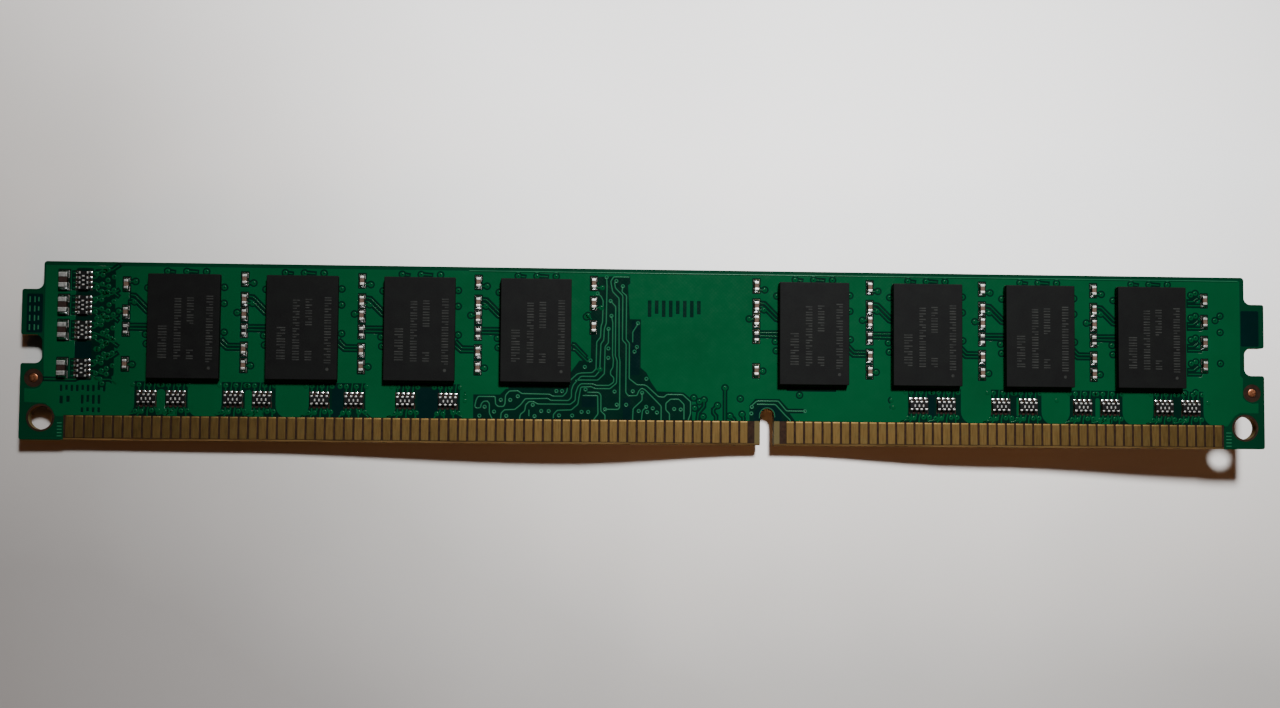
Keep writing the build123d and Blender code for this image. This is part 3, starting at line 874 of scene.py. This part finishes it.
def upper_centre(art):
    """The clear area in the middle and the bundle of traces that runs up it."""
    art.shape("void", [
        (-19.5, 2.3), (-19.5, 5.2), (-16.6, 5.2), (-16.0, 5.8), (-9.2, 6.2), (-9.3, 7.4), (-8.2, 8.9),
        (-7.0, 8.9), (-7.0, 14.6), (-6.3, 14.6), (-6.2, 17.9), (-2.8, 18.1), (-2.75, 17.2), (-3.0, 17.0),
        (-2.8, 13.4), (-1.6, 13.4), (-1.6, 8.2), (-1.0, 7.7), (-0.5, 6.7), (0.2, 5.7), (3.0, 5.6),
        (3.9, 4.9), (4.0, 2.3),
    ])  # fmt: skip
    art.shape("deep", rounded_rect(-7.9, 3.9, -6.4, 5.0, 0.15))
    art.shape("deep", rounded_rect(-3.5, 2.6, -2.7, 4.9, 0.15))
    art.shape("deep", [(-2.7, 7.4), (-1.75, 7.4), (-1.75, 13.2), (-2.6, 13.2)])
    lines = [
        [(-17.4, 2.6), (-17.7, 3.2), (-17.7, 4.2), (-17.9, 4.45), (-18.3, 4.45), (-18.55, 4.2),
         (-18.65, 3.75), (-19.1, 3.7), (-19.25, 3.9), (-19.1, 4.6), (-18.9, 4.95), (-17.1, 4.95),
         (-17.05, 4.15), (-16.8, 3.9), (-16.2, 3.9), (-16.05, 4.2), (-16.0, 5.1), (-15.6, 5.55),
         (-14.7, 5.6), (-14.3, 5.3), (-11.3, 5.25), (-11.0, 5.05), (-9.9, 5.05), (-9.5, 5.5), (-9.4, 6.2),
         (-9.2, 6.7), (-8.4, 7.45), (-8.0, 7.55), (-6.8, 7.6), (-6.4, 8.0), (-6.35, 10.9), (-5.95, 11.4),
         (-5.9, 12.6), (-5.75, 13.0), (-5.7, 15.3), (-5.9, 15.75), (-6.3, 16.1)],
        [(-16.5, 2.6), (-16.45, 3.2), (-16.1, 3.55), (-15.0, 3.6), (-14.4, 4.1), (-13.9, 4.75),
         (-11.5, 4.8), (-11.2, 4.6), (-9.3, 4.6), (-9.0, 4.95), (-9.0, 5.7), (-8.8, 6.3), (-8.0, 7.2),
         (-6.5, 7.2), (-6.0, 7.8), (-5.9, 10.7), (-5.6, 11.1), (-5.55, 12.3), (-5.35, 12.9), (-5.3, 16.9),
         (-5.35, 17.8)],
        [(-14.5, 2.6), (-14.4, 3.1), (-13.95, 3.45), (-13.85, 4.1), (-13.5, 4.45), (-13.0, 4.45),
         (-12.6, 4.2), (-9.1, 4.2), (-8.6, 4.6), (-8.55, 5.4), (-8.3, 6.1), (-8.0, 6.4), (-6.7, 6.4),
         (-6.4, 6.25), (-5.0, 6.25), (-4.5, 6.6), (-4.5, 7.1), (-4.85, 7.4), (-4.85, 7.8), (-4.6, 8.2),
         (-4.55, 9.0), (-4.65, 9.5), (-4.65, 13.0), (-4.8, 13.7)],
        [(-13.5, 2.9), (-13.5, 3.6)],
        [(-10.9, 2.7), (-10.9, 3.1), (-10.5, 3.55), (-9.0, 3.6), (-8.3, 4.2), (-8.2, 4.9), (-8.0, 6.05),
         (-6.9, 6.1), (-6.5, 5.9), (-4.9, 5.9), (-4.2, 6.5), (-4.15, 8.9), (-4.35, 9.4), (-4.35, 14.7),
         (-4.9, 15.3)],
        [(-8.6, 6.75), (-8.0, 6.8), (-6.2, 6.8), (-5.5, 7.5), (-5.45, 10.4), (-5.1, 10.8), (-5.1, 12.3)],
        [(-5.4, 3.7), (-4.0, 3.7), (-3.85, 3.9), (-3.85, 8.9), (-3.95, 9.4), (-4.0, 15.6), (-4.7, 16.3),
         (-4.9, 17.4), (-4.6, 17.9), (-2.9, 17.9)],
        [(0.6, 2.6), (0.6, 4.1), (-1.1, 5.8), (-1.5, 6.0), (-1.8, 5.7), (-2.0, 5.2), (-2.9, 5.15),
         (-3.2, 5.5), (-3.2, 10.7), (-3.6, 11.1), (-3.6, 15.9), (-4.4, 16.7), (-4.5, 17.3)],
        [(3.5, 2.6), (3.75, 3.3), (3.75, 4.6), (2.9, 5.35), (1.2, 5.35), (0.9, 5.05), (0.3, 5.1),
         (-0.9, 6.2), (-1.2, 6.35), (-2.0, 6.35), (-2.85, 7.0), (-2.85, 10.8), (-3.2, 11.2), (-3.2, 15.9),
         (-3.7, 16.3), (-3.6, 16.9)],
        [(3.05, 2.7), (3.05, 4.3), (2.5, 4.85), (1.6, 4.85), (1.1, 4.4), (1.1, 3.7), (1.5, 3.3), (1.5, 2.6)],
        [(-1.45, 5.5), (-1.45, 4.7), (-2.4, 3.8), (-2.45, 2.6)],
        [(-1.0, 4.0), (-1.4, 3.6), (-1.5, 2.6)],
        [(-7.8, 5.15), (-6.2, 5.15), (-6.15, 3.2), (-6.6, 2.6)],
        [(-7.3, 5.5), (-6.1, 5.5), (-5.85, 5.2), (-5.85, 3.5), (-5.4, 3.1), (-5.4, 2.6)],
        [(-2.5, 10.9), (-2.5, 12.0), (-2.05, 12.7), (-1.95, 12.95)],
    ]  # fmt: skip
    for line in lines:
        art.trace(line)
    vias = [
        (-18.75, 2.9), (-18.2, 3.85), (-17.2, 3.35), (-16.5, 4.6), (-15.5, 4.6), (-14.7, 5.0), (-15.9, 2.9),
        (-13.1, 4.1), (-12.9, 2.9), (-12.2, 3.45), (-11.4, 3.45), (-10.3, 3.0), (-8.9, 3.0), (-10.6, 5.6),
        (-10.0, 5.6), (-4.4, 5.6), (-2.45, 5.65), (-1.0, 7.0), (-4.15, 4.2), (-3.15, 4.2), (-1.8, 3.55),
        (-0.9, 3.45), (-0.3, 3.85), (0.15, 3.4), (2.0, 3.8), (2.7, 3.75), (-7.5, 5.8), (-7.2, 3.4),
        (-7.9, 3.4), (-1.95, 12.95), (-2.05, 10.4), (-2.3, 9.9), (-4.3, 17.45), (-3.6, 16.9), (-6.3, 16.1),
        (-5.35, 17.85), (-5.1, 12.3), (-5.1, 10.2), (-5.1, 9.2), (-4.8, 13.7), (-4.9, 15.3), (-5.4, 3.7),
        (-1.45, 5.5), (-1.0, 4.0), (-7.6, 8.2), (-7.0, 8.9),
    ]  # fmt: skip
    art.drill(vias)
    art.trace([(-8.9, 10.1), (-8.6, 10.05), (-7.3, 8.75), (-7.05, 8.8)], True)
    art.trace([(-8.9, 10.6), (-8.7, 10.55), (-7.5, 9.3)], True)
    art.via(-7.3, 13.7, True)
    art.trace([(-7.3, 13.7), (-6.9, 13.3)], True)


def upper_right_of_centre(art):
    """Traces cut into the pour up to the key notch, and the wraps round the notch."""
    free = [
        [(5.2, 4.8), (5.2, 4.1), (4.6, 3.4), (4.5, 2.6)],
        [(6.65, 4.2), (6.2, 3.8), (6.2, 3.4), (6.5, 3.1), (6.5, 2.6)],
        [(7.45, 6.1), (7.45, 2.6)],
        [(9.3, 3.3), (9.45, 2.9), (9.45, 2.6)],
        [(8.0, 3.1), (8.4, 2.8), (8.5, 2.6)],
    ]
    for line in free:
        art.trace(line, True)
        art.via(*line[0], True)
    art.shape("void", [
        (10.05, 2.3), (10.05, 4.3), (10.7, 5.0), (13.35, 5.0), (14.3, 3.98), (16.1, 3.98), (16.45, 3.7),
        (16.1, 3.42), (14.5, 3.42), (15.3, 2.3),
    ])  # fmt: skip
    art.shape("deep", [(10.5, 2.3), (10.6, 3.6), (11.3, 4.3), (12.7, 4.3), (13.5, 3.6), (13.7, 2.3)])
    rim = [(11.17, 2.9), (11.17, 3.25)]
    for i in range(9):
        angle = math.radians(180 - 22.5 * i)
        rim.append((KEY_NOTCH_X + 0.83 * math.cos(angle), 3.2 + 0.83 * math.sin(angle)))
    art.trace(rim + [(12.83, 3.0)], False, 0.10)
    art.trace([(10.4, 4.3), (10.9, 4.75), (13.2, 4.75), (14.1, 3.7), (16.1, 3.7)])
    art.trace([(10.9, 4.40), (12.9, 4.38), (14.0, 3.2), (14.5, 2.75), (14.5, 2.55)])
    art.drill([(16.1, 3.7), (10.35, 4.1), (10.3, 3.4)])
    art.drill([(4.1, 5.0), (4.7, 4.6), (4.2, 3.9), (5.1, 3.0), (9.1, 4.95)], True)
    art.drill([(15.5, 5.4), (25.5, 4.95), (25.7, 4.2)], True)


def upper_ends(art):
    """Ears, the trace from a test dot, the etched bars, and traces and vias near the board's ends."""
    art.shape("deep", rounded_rect(64.1, 11.2, 66.1, 15.1, 0.15))
    art.shape("deep", rounded_rect(-66.15, 11.2, -64.5, 15.3, 0.15))
    art.trace([(-64.2, 6.35), (-61.0, 6.32), (-60.6, 6.5)], True)
    for i in range(4):
        y = 11.45 + 0.98 * i
        art.trace([(-65.85, y), (-65.85, y + 0.62)], False, 0.16)
        art.trace([(-65.35, y), (-65.35, y + 0.62)], False, 0.16)
        art.trace([(-64.95, y + 0.1), (-64.95, y + 0.55)], False, 0.16)
    bars(art, -0.95, 13.60, 5.10, 15.45, 8, 0.62)
    bars(art, -62.60, 5.05, -57.60, 5.80, 9)
    bars(art, -57.10, 4.05, -55.90, 4.85, 2)
    bars(art, -62.60, 3.75, -61.20, 4.65, 2)
    bars(art, -60.40, 3.75, -58.10, 4.75, 4)
    bars(art, -60.40, 2.85, -58.10, 3.45, 4)
    # A light ridge along the pour's top edge: a painted highlight line where that edge catches the light.
    art.trace([(-20.0, 18.3), (63.8, 18.3)], False, 0.20)
    for i in range(5):
        art.trace([(-62.75, 0.4 + 0.34 * i), (-62.25, 0.4 + 0.34 * i)], False, 0.13)
        art.trace([(62.35, 0.3 + 0.36 * i), (62.95, 0.3 + 0.36 * i)], False, 0.13)
    for y in (8.2, 10.8, 13.2, 15.7):
        art.trace([(58.2, y - 0.1), (59.6, y - 0.1)], True)
        art.trace([(58.2, y + 0.35), (58.8, y + 0.35), (59.3, y + 0.75)], True)
        art.drill([(59.05, y + 1.25), (58.55, y + 1.05)], True)
    art.drill([(60.4, 5.0), (61.8, 9.3), (61.8, 14.5), (61.25, 14.0), (61.8, 12.7)], True)
    art.drill([(43.6, 5.1), (59.0, 6.1), (57.8, 6.0)], True)
    art.trace([(-20.3, 5.4), (-20.3, 5.0)], True)
    art.drill([(-20.3, 5.0), (-20.3, 4.45)], True)


def package_lines(art, centres):
    """Vias and a short link that show above each package, and beside it."""
    for c in centres:
        art.drill([(c + dx, 17.84) for dx in (-1.95, 0.05, 2.10)], True)
        art.trace([(c + 0.3, 17.86), (c + 1.2, 17.80)], True)
        art.trace([(c - 1.6, 17.8), (c - 1.2, 17.75)], True)
        art.trace([(c - 2.6, 6.35), (c - 2.6, 6.1), (c + 2.4, 6.05)], True, 0.13)


def columns_of(side):
    """X of the chip columns, each side of every package."""
    xs = []
    for low, high in islands(f"capacitor_bodies_{side}"):
        if upright(low, high):
            x = round(middle_x(low, high), 1)
            if x not in xs:
                xs.append(x)
    return sorted(xs)


def termination_x(side):
    """X of the termination arrays, which stand upright."""
    low, high = next(pair for pair in islands(f"array_ceramics_{side}") if upright(*pair))
    return middle_x(low, high)


def neighbours(x, centres):
    """Whether a package stands next to a chip column on its left, and on its right."""
    return any(0 < x - c < NEXT_TO for c in centres), any(0 < c - x < NEXT_TO for c in centres)


def draw_upper():
    art = Artwork("upper")
    rng = random.Random(11)
    art.shape("pour", pour_outline())
    free_the_pads(art)
    termination_field(art, termination_x("upper"), rng)
    upper_arrays(art)
    upper_centre(art)
    upper_right_of_centre(art)
    upper_ends(art)
    centres = package_centres("upper")
    package_lines(art, centres)
    for x in columns_of("upper"):
        left, right = neighbours(x, centres)
        if x < 58:
            column_lines(art, x, left and not -8 < x < 0, right)
    art.build()


# ---------------------------------------------------------------- lower side
def draw_lower():
    art = Artwork("lower")
    rng = random.Random(23)
    art.shape("pour", [(-x, y) for x, y in pour_outline()])
    free_the_pads(art)
    centres = package_centres("lower")
    package_lines(art, centres)
    for low, high in islands("array_ceramics_lower"):
        x = middle_x(low, high)
        if not upright(low, high):
            art.shape("void", rounded_rect(x - 1.7, 2.3, x + 1.7, 6.25, 0.5, 5))
            array_lines(art, x, 6.25)
    x = termination_x("lower")
    art.shape("void", rounded_rect(x - 1.0, 6.2, x + 1.0, 18.1, 0.25))
    columns = columns_of("lower")
    for x in columns:
        column_lines(art, x, *neighbours(x, centres))
    middle = (columns[4] + columns[5]) / 2
    art.shape("void", rounded_rect(middle - 5.4, 2.3, middle + 5.4, 6.4, 0.4))
    art.shape("void", rounded_rect(middle - 2.2, 6.2, middle + 2.2, 8.4, 0.3))
    for i in range(9):
        x = middle - 4.6 + 1.15 * i
        foot = math.floor(x) + 0.5
        bend, end = 0.2 * (i % 3), 0.25 * (i % 2)
        art.trace([(foot, TRACE_END), (foot, 3.0 + bend), (x, 4.1 + bend), (x, 5.4 + end)])
        art.via(x, 5.55 + end)
        art.via(x + 0.5, 3.15)
    for i in range(4):
        start, end, y = middle + 2.0 - 0.3 * i, middle - 0.75 + 0.5 * i, 7.0 + 0.3 * i
        art.trace([(start, 6.1), (start, y), (end, y + 0.9), (end, y + 1.4)])
    for _ in range(46):
        x, y = rng.uniform(-61, 61), rng.choice((4.2, 4.9, 5.4, 17.9, 3.3))
        art.via(x, y, True)
    art.build()


# ---------------------------------------------------------------- parts
def build_contacts(side):
    # Share of the height, then how far the sides and the end away from the board's edge are drawn in.
    levels = [(0.0, 0.0, 0.0), (0.62, 0.004, 0.0), (0.90, 0.014, 0.055), (1.0, 0.035, 0.15)]
    levels.append((1.0, 0.05, 0.17))
    for row in ("long", "short"):
        piece = Piece()
        rng = random.Random(len(row) * 7 + len(side))
        node = f"contacts_{row}_row_{side}"
        for low, high in islands(node):
            half_x = (high.x - low.x) / 2
            x = middle_x(low, high)
            lift = rng.uniform(-0.002, 0.0)
            rings = []
            for share, inset, back in levels:
                y0, y1 = low.y + inset, high.y - back
                middle, half_y = (y0 + y1) / 2, (y1 - y0) / 2
                z = (high.z + lift) * share
                rings.append(rounded_ring(half_x - inset, half_y, 0.06, z, 2, (x, middle)))
            piece.add(loft(rings), side_matrix(side))
        piece.build(f"contact_fingers_{row}_{side}", "gold_plate", [GOLD], [node], 60)


def two_terminal(length, width, thickness, band, pad_reach, coat):
    """Shapes of a chip with plated ends: body, end caps, solder and, on a resistor, its overcoat."""
    end = length / 2
    edge = min(0.06, band * 0.25)
    body = block(end - 0.03, width / 2 - 0.02, SEAT + 0.02, SEAT + thickness - 0.02, edge, 0.03)
    caps = []
    for sign in (-1, 1):
        centre = (sign * (end - band / 2), 0.0)
        caps.append(block(band / 2, width / 2, SEAT, SEAT + thickness, edge, 0.05, centre))
    joint = meniscus(end - band, end, end + pad_reach, width / 2, width / 2 + 0.05, thickness * 0.6, 0.25)
    shapes = {"body": [body], "caps": caps, "solder": [joint, turned(joint, 180)]}
    if coat:
        half = end - band - 0.05
        top = SEAT + thickness + 0.005
        shapes["coat"] = [block(half, width / 2 - 0.03, top - 0.03, top, 0.015, 0.03)]
    return shapes


def array_shapes():
    """Shapes of a four-element array: ceramic, overcoat, marks, end caps and solder."""
    length, width, thickness, band = 2.0, 1.0, 0.36, 0.22
    shapes = {"body": [], "coat": [], "caps": [], "solder": [], "marks": []}
    high = SEAT + thickness - 0.02
    shapes["body"].append(block(length / 2 - 0.02, width / 2 - 0.03, SEAT + 0.02, high, 0.03, 0.03))
    top = SEAT + thickness - 0.004
    shapes["coat"].append(block(length / 2 - 0.015, width / 2 - 0.025, SEAT + 0.14, top, 0.03, 0.04))
    for x in (-0.45, 0.0, 0.45):
        shapes["marks"].append(block(0.07, 0.13, top - 0.01, top + 0.002, 0.003, 0.02, (x, 0.0), 1))
    joint = meniscus(width / 2 - band, width / 2, width / 2 + 0.34, 0.13, 0.16, thickness * 0.72, 0.45, 6)
    for offset in ELEMENTS:
        for sign in (-1, 1):
            centre = (offset, sign * (width / 2 - band / 2))
            shapes["caps"].append(block(0.15, band / 2, SEAT, SEAT + thickness, 0.05, 0.05, centre))
            shapes["solder"].append(turned(joint, 90 * sign, (offset, 0.0)))
    return shapes


def build_parts(side):
    """Chips of one side: each kind's shapes, repeated at every place the frame has it."""
    chip = two_terminal(1.0, 0.5, 0.45, 0.30, 0.20, False)
    thin = two_terminal(1.0, 0.5, 0.35, 0.25, 0.20, True)
    bulk = two_terminal(1.6, 0.9, 0.80, 0.52, 0.25, False)
    groups = [
        (f"capacitor_bodies_{side}", chip, "capacitor", CERAMIC, "capacitor_ceramic"),
        (f"resistor_ceramics_{side}", thin, "resistor", ALUMINA, "alumina"),
        (f"bulk_capacitor_bodies_{side}", bulk, "bulk_capacitor", BULK, "bulk_capacitor_ceramic"),
        (f"array_ceramics_{side}", array_shapes(), "array", ALUMINA, "alumina"),
    ]
    solder = Piece()
    rng = random.Random(5)
    for node, shapes, kind, body_material, body_slot in groups:
        pieces = {"body": Piece(), "caps": Piece(), "coat": Piece(), "marks": Piece()}
        for x, y, turn in places(node):
            at = on_side(side, x, y, turn)
            for part, made in shapes.items():
                for shape in made:
                    if part == "solder":
                        grow = Matrix.Diagonal((1, 1, rng.uniform(0.85, 1.08), 1))
                        solder.add(shape, at @ grow)
                    else:
                        pieces[part].add(shape, at)
        pieces["body"].build(f"{kind}_body_{side}", body_slot, [body_material], [node])
        pieces["caps"].build(f"{kind}_end_caps_{side}", "tin_plate", [TIN], [f"{kind}_terminals_{side}"])
        if "coat" in shapes:
            pieces["coat"].build(f"{kind}_coat_{side}", "overcoat", [OVERCOAT], [f"{kind}_overcoats_{side}"])
        if "marks" in shapes:
            pieces["marks"].build(f"{kind}_marks_{side}", "overcoat", [ARRAY_MARK], ())
    solder.build(f"solder_joints_{side}", "solder", [SOLDER], [f"solder_{side}"], 70)


def marks_on(centre_x, top, rng):
    """Plain bars where a package is laser marked, and the dot at its first ball."""
    shapes = []
    rows = [
        (-2.15, 8.6, 12.3, 0.92), (-0.60, 8.5, 15.0, 0.72), (0.70, 8.5, 10.1, 0.72), (0.70, 12.2, 15.0, 0.72),
        (2.70, 8.2, 15.2, 0.72),
    ]  # fmt: skip
    for dx, low, high, width in rows:
        y = low
        while y < high - 0.4:
            long_bar = rng.random() < 0.6
            for step in (0.0, 0.26):
                half = width / 2 if long_bar or step else width * 0.28
                shift = 0.0 if long_bar or step else rng.choice((-1, 1)) * width * 0.2
                middle = (centre_x + dx + shift, y + 0.1 + step)
                shapes.append(block(half, 0.06, top - 0.004, top, 0.001, 0.03, middle, 1))
            y += 0.60
    dot = lathe([(0.17, top - 0.004), (0.165, top)], 16)
    shapes.append(turned(dot, 0, (centre_x + 2.70, 7.62)))
    return shapes


def build_packages(side):
    marking = Piece()
    rng = random.Random(41)
    for i in range(1, 9):
        node = f"memory_mould_{side}_{i}"
        low, high = islands(node)[0]
        half_x, half_y = (high.x - low.x) / 2, (high.y - low.y) / 2
        centre = (middle_x(low, high), (low.y + high.y) / 2)
        body = Piece()
        body.add(block(half_x, half_y, low.z, high.z - 0.003, 0.06, 0.09, centre, 4), side_matrix(side))
        body.build(f"package_{side}_{i}", "mould_compound", [MOULD], [node])
        for shape in marks_on(centre[0], high.z, rng):
            marking.add(shape, side_matrix(side))
    marking.build(f"package_marks_{side}", "mould_compound", [MARKING], ())


def build_balls(side):
    piece = Piece()
    low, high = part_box(f"solder_balls_{side}")
    reach = (high.z - low.z) / MM
    profile = []
    for i in range(7):
        angle = math.pi * (i / 6)
        profile.append((0.15 + 0.07 * math.sin(angle), reach * i / 6))
    ball = lathe(profile, 12)
    for x in package_centres(side):
        for column in (-4, -3, -2, 2, 3, 4):
            for row in range(13):
                piece.add(ball, on_side(side, x + column * BALL_PITCH, PACKAGE_Y + (row - 6) * BALL_PITCH))
    piece.build(f"balls_{side}", "solder", [SOLDER], [f"solder_balls_{side}"], 80)


def build_dots():
    piece = Piece()
    dome = [(1.0, 0.0), (0.98, 0.45), (0.85, 0.78), (0.55, 0.94), (0.2, 1.0)]
    for low, high in islands("test_dots"):
        radius = (high.x - low.x) / 2
        profile = [(radius * share, high.z * rise) for share, rise in dome]
        piece.add(lathe(profile, 32), on_side("upper", middle_x(low, high), (low.y + high.y) / 2))
    piece.build("copper_dots", "bare_copper", [DOT], ["test_dots"], 60)


def dress_frame():
    """Materials for the CAD nodes that stay in view."""
    dressed = {
        "board_laminate": LAMINATE,
        "configuration_memory_body": MOULD,
        "configuration_memory_terminals": TIN,
    }
    for side in SIDES:
        dressed[f"package_substrates_{side}"] = SUBSTRATE
        dressed[f"pads_{side}"] = PAD
    for node, made in dressed.items():
        NODES[node].data.materials.clear()
        NODES[node].data.materials.append(made)


draw_upper()
draw_lower()
for side_name in SIDES:
    build_contacts(side_name)
    build_parts(side_name)
    build_packages(side_name)
    build_balls(side_name)
build_dots()
dress_frame()


# ---------------------------------------------------------------- floor, light and camera
def floor_height(x, y):
    """Paper that lies in low waves, in millimetres; the module rests on its crests."""
    anchors = [
        (-200, -3.0), (-90, -0.8), (-62, -0.02), (-45, -0.3), (-10, -2.3), (13, -0.02), (36, -2.2),
        (66, -4.6), (90, -5.2), (200, -6.0),
    ]  # fmt: skip
    for (x0, z0), (x1, z1) in zip(anchors, anchors[1:]):
        if x <= x1:
            t = min(max((x - x0) / (x1 - x0), 0.0), 1.0)
            t = t * t * (3 - 2 * t)
            return z0 + (z1 - z0) * t
    return anchors[-1][1]


def build_floor():
    steps_x = [-600, -400, -250] + [-180 + 4 * i for i in range(91)] + [250, 400, 600]
    steps_y = [-600, -300, -150, -60, -30, 0, 30, 60, 150, 300, 600]
    verts = [(x * MM, y * MM, floor_height(x, y) * MM) for x in steps_x for y in steps_y]
    faces = grid_faces(len(steps_x), len(steps_y))
    mesh = bpy.data.meshes.new("floor")
    mesh.from_pydata(verts, [], faces)
    mesh.polygons.foreach_set("use_smooth", [True] * len(faces))
    s = Surface("pale paper with painted light falloff", specular=0.2)
    # The paper is darker towards the left and the front and lighter towards the back: painted light falloff,
    # not a tone of the paper.
    across = s.span(s.axis("X"), -0.45, 0.0, -0.06, 0.0)
    along = s.maths("MULTIPLY", s.axis("Y"), 12.0)
    painted_falloff = s.maths("ADD", s.maths("ADD", across, along), s.span(s.noise(30.0, 2.0), 0.69, 0.75))
    tones = [
        (0.0, (140, 138, 136)), (0.3, (166, 164, 161)), (0.46, (190, 187, 183)), (0.6, (208, 205, 201)),
        (0.85, (240, 238, 235)), (1.0, (249, 248, 246)),
    ]  # fmt: skip
    s.colour(s.ramp(painted_falloff, tones))
    s.roughness(s.span(s.noise(3.0, 2.0), 0.7, 0.9))
    s.bump(s.noise(0.8, 3.0), 0.01)
    mesh.materials.append(s.material)
    place_object("floor", mesh)


def spot_light(name, aim, direction, distance, radius, cone, power, colour):
    """A soft-edged round beam that lights a spot in metres from a direction above it."""
    data = bpy.data.lights.new(name, "SPOT")
    data.shadow_soft_size = radius
    data.spot_size = math.radians(cone)
    data.spot_blend = 1.0
    data.energy = power
    data.color = colour
    lamp = place_object(name, data)
    away = Vector(direction).normalized()
    lamp.location = Vector(aim) + away * distance
    lamp.rotation_mode = "QUATERNION"
    lamp.rotation_quaternion = away.to_track_quat("Z", "Y")
    return lamp


def build_world():
    world = bpy.data.worlds.new("room")
    world.use_nodes = True
    world.node_tree.nodes["Background"].inputs["Color"].default_value = (0.80, 0.90, 1.0, 1.0)
    world.node_tree.nodes["Background"].inputs["Strength"].default_value = 0.012
    bpy.context.scene.world = world


def build_camera():
    """A phone held nearly square above the module, 191 mm from its upper face."""
    turn = Matrix.Identity(3)
    for degrees, axis in ((0.64, "Z"), (-3.56, "Y"), (-3.23, "X")):
        turn = turn @ Matrix.Rotation(math.radians(degrees), 3, axis)
    back = turn.transposed()
    flip = Matrix.Diagonal((1, -1, -1))
    right = flip @ back @ Vector((1, 0, 0))
    up = flip @ back @ Vector((0, -1, 0))
    behind = flip @ back @ Vector((0, 0, -1))
    location = flip @ (back @ Vector((-1.7, -0.3, -190.5))) * MM
    location.z += board_high.z + 0.03 * MM
    data = bpy.data.cameras.new("camera")
    data.sensor_width = 36
    data.lens = 50.06
    data.clip_start = 0.01
    camera = place_object("camera", data)
    camera.matrix_world = Matrix((right, up, behind)).transposed().to_4x4()
    camera.location = location
    bpy.context.scene.camera = camera


build_floor()
build_world()
KEY = ((0.018, 0.012, 0), (0.12, 0.52, 1.0), 0.55, 0.045)
DAYLIGHT = (0.97, 0.985, 1.0)
spot_light("key", *KEY, 20.5, 22.5, DAYLIGHT)
spot_light("key spill", *KEY, 110, 12.5, DAYLIGHT)
fill = spot_light("warm fill", (0, 0, 0), (-0.10, -1.0, 0.40), 0.55, 0.06, 60, 3.4, (1.0, 0.40, 0.13))
fill.visible_glossy = False
build_camera()
